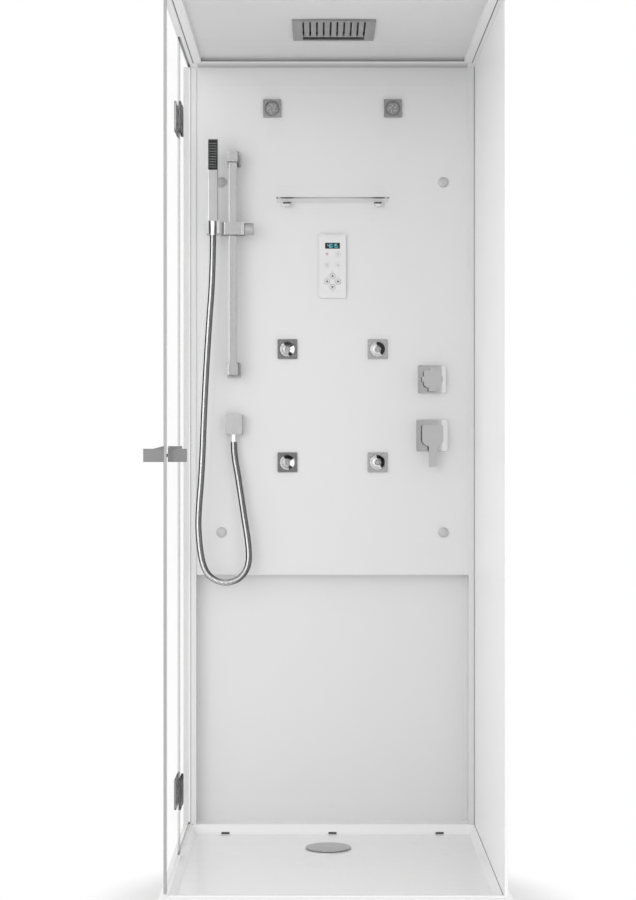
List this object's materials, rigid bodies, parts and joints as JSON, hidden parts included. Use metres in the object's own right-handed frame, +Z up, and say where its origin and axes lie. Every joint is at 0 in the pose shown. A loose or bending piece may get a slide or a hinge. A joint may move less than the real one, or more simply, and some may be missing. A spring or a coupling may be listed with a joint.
{
  "type": "steam shower cabin",
  "caption": "Enclosed steam shower cabin: low tray, clear hinged side door and front pane, white back and side walls with mixer, rain head, hand shower on a bar, body jets, shelf and control.",
  "frame": {"origin": "on the floor, under the tray's centre foot, midway between the sides and between the front and back", "axes": "+Z up, +X towards the white side wall on the right seen from the front, +Y towards the equipment panel at the back"},
  "size_m": [0.837, 1, 2.2],
  "materials": {
    "tray_white": "glossy white acrylic",
    "frame_steel": "galvanised steel tube",
    "foot_black": "black levelling feet",
    "waste_grey": "moulded grey trap",
    "satin_chrome": "satin",
    "profile_white": "white powder coat",
    "panel_white": "glossy white panel",
    "wall_white": "white back-painted glass",
    "clear_glass": "clear tempered",
    "seal_clear": "translucent strip",
    "ceiling_white": "white",
    "rain_grey": "satin grey",
    "rain_black": "black",
    "spot_grey": "satin dark",
    "lens": "moulded lens",
    "chrome": "polished",
    "spray_dark": "dark with light nozzles",
    "control_white": "glossy white",
    "display_black": "black window with lit digits",
    "valve_brass": "cast",
    "jet_body": "moulded",
    "steel": "stainless",
    "steam_nozzle": "polished",
    "copper": "copper tube"
  },
  "bodies": {
    "cabin": {"shower_tray": "tray_white", "tray_underframe": "frame_steel", "tray_feet": "foot_black", "waste_body": "waste_grey", "jet_plates": "satin_chrome", "hinge_fixed_leaves": "satin_chrome", "rear_posts": "profile_white", "right_front_profile": "profile_white", "roof_frame": "profile_white", "glass_sills": "profile_white", "upper_back_panel": "panel_white", "lower_back_panel": "panel_white", "right_wall_panel": "wall_white", "left_fixed_glass": "clear_glass", "front_glass": "clear_glass", "shelf_glass": "clear_glass", "ceiling_panel": "ceiling_white", "roof_cover": "ceiling_white", "rain_head_plate": "rain_grey", "rain_head_box": "rain_black", "spot_bezels": "spot_grey", "spot_lenses": "lens", "fixing_caps": "chrome", "slide_bar": "chrome", "bar_brackets": "chrome", "hose": "chrome", "hose_wall_nut": "chrome", "wall_outlet": "chrome", "shelf_clamps": "chrome", "valve_plates": "chrome", "control_housing": "control_white", "control_display": "display_black", "valve_block": "valve_brass", "jet_bodies": "jet_body", "steam_generator": "steel", "steam_outlet": "steam_nozzle", "service_pipes": "copper"},
    "door": {"door_glass": "clear_glass", "door_seals": "seal_clear", "hinge_door_leaves": "satin_chrome", "handle_outer": "satin_chrome", "handle_inner": "satin_chrome"},
    "drain_cover": {"drain_cover": "satin_chrome"},
    "slider": {"slider_body": "chrome"},
    "slider_knob": {"slider_knob": "chrome"},
    "holder": {"handset_holder": "chrome"},
    "handset": {"handset_body": "chrome", "spray_plate": "spray_dark", "hose_cone_nut": "chrome"},
    "diverter": {"diverter_knob": "chrome"},
    "mixer_swivel": {"mixer_collar": "chrome"},
    "mixer_lever": {"mixer_lever": "chrome"},
    "jet_upper_left": {"jet_upper_left": "chrome"},
    "jet_upper_right": {"jet_upper_right": "chrome"},
    "jet_lower_left": {"jet_lower_left": "chrome"},
    "jet_lower_right": {"jet_lower_right": "chrome"},
    "key_up": {"key_up": "control_white"},
    "key_down": {"key_down": "control_white"},
    "key_left": {"key_left": "control_white"},
    "key_right": {"key_right": "control_white"}
  },
  "joints": [
    {"name": "door_hinge", "type": "hinge", "parent": "cabin", "child": "door", "pos_m": [-0.384, -0.014, 1.123], "axis": [0, 0, -1], "range_deg": [0, 92]},
    {"name": "drain_cover_lift", "type": "slide", "parent": "cabin", "child": "drain_cover", "axis": [0, 0, 1], "range_m": [0, 0.04]},
    {"name": "slider_slide", "type": "slide", "parent": "cabin", "child": "slider", "axis": [0, 0, 1], "range_m": [-0.34, 0.16], "deforming": ["hose"]},
    {"name": "slider_knob_turn", "type": "hinge", "parent": "slider", "child": "slider_knob", "pos_m": [-0.235, 0.352, 1.721], "axis": [1, 0, 0], "range_deg": [0, 180]},
    {"name": "holder_tilt", "type": "hinge", "parent": "slider", "child": "holder", "pos_m": [-0.295, 0.352, 1.721], "axis": [1, 0, 0], "range_deg": [-10, 35], "deforming": ["hose"]},
    {"name": "handset_lift", "type": "slide", "parent": "holder", "child": "handset", "axis": [0, 0, 1], "range_m": [0, 0.12], "deforming": ["hose"]},
    {"name": "diverter_turn", "type": "hinge", "parent": "cabin", "child": "diverter", "pos_m": [0.267, 0.39, 1.324], "axis": [0, 1, 0], "range_deg": [-60, 60]},
    {"name": "mixer_turn", "type": "hinge", "parent": "cabin", "child": "mixer_swivel", "pos_m": [0.267, 0.392, 1.173], "axis": [0, 1, 0], "range_deg": [-50, 50]},
    {"name": "mixer_lift", "type": "hinge", "parent": "mixer_swivel", "child": "mixer_lever", "pos_m": [0.267, 0.392, 1.173], "axis": [-1, 0, 0], "range_deg": [0, 20]},
    {"name": "jet_upper_left_tilt", "type": "hinge", "parent": "cabin", "child": "jet_upper_left", "pos_m": [-0.121, 0.412, 1.405], "axis": [1, 0, 0], "range_deg": [-12, 12]},
    {"name": "jet_upper_right_tilt", "type": "hinge", "parent": "cabin", "child": "jet_upper_right", "pos_m": [0.121, 0.412, 1.405], "axis": [1, 0, 0], "range_deg": [-12, 12]},
    {"name": "jet_lower_left_tilt", "type": "hinge", "parent": "cabin", "child": "jet_lower_left", "pos_m": [-0.121, 0.412, 1.101], "axis": [1, 0, 0], "range_deg": [-12, 12]},
    {"name": "jet_lower_right_tilt", "type": "hinge", "parent": "cabin", "child": "jet_lower_right", "pos_m": [0.121, 0.412, 1.101], "axis": [1, 0, 0], "range_deg": [-12, 12]},
    {"name": "key_up_press", "type": "slide", "parent": "cabin", "child": "key_up", "axis": [0, 1, 0], "range_m": [0, 0.0006], "stiffness_N_per_m": 800, "springref_m": -0.001},
    {"name": "key_down_press", "type": "slide", "parent": "cabin", "child": "key_down", "axis": [0, 1, 0], "range_m": [0, 0.0006], "stiffness_N_per_m": 800, "springref_m": -0.001},
    {"name": "key_left_press", "type": "slide", "parent": "cabin", "child": "key_left", "axis": [0, 1, 0], "range_m": [0, 0.0006], "stiffness_N_per_m": 800, "springref_m": -0.001},
    {"name": "key_right_press", "type": "slide", "parent": "cabin", "child": "key_right", "axis": [0, 1, 0], "range_m": [0, 0.0006], "stiffness_N_per_m": 800, "springref_m": -0.001}
  ]
}
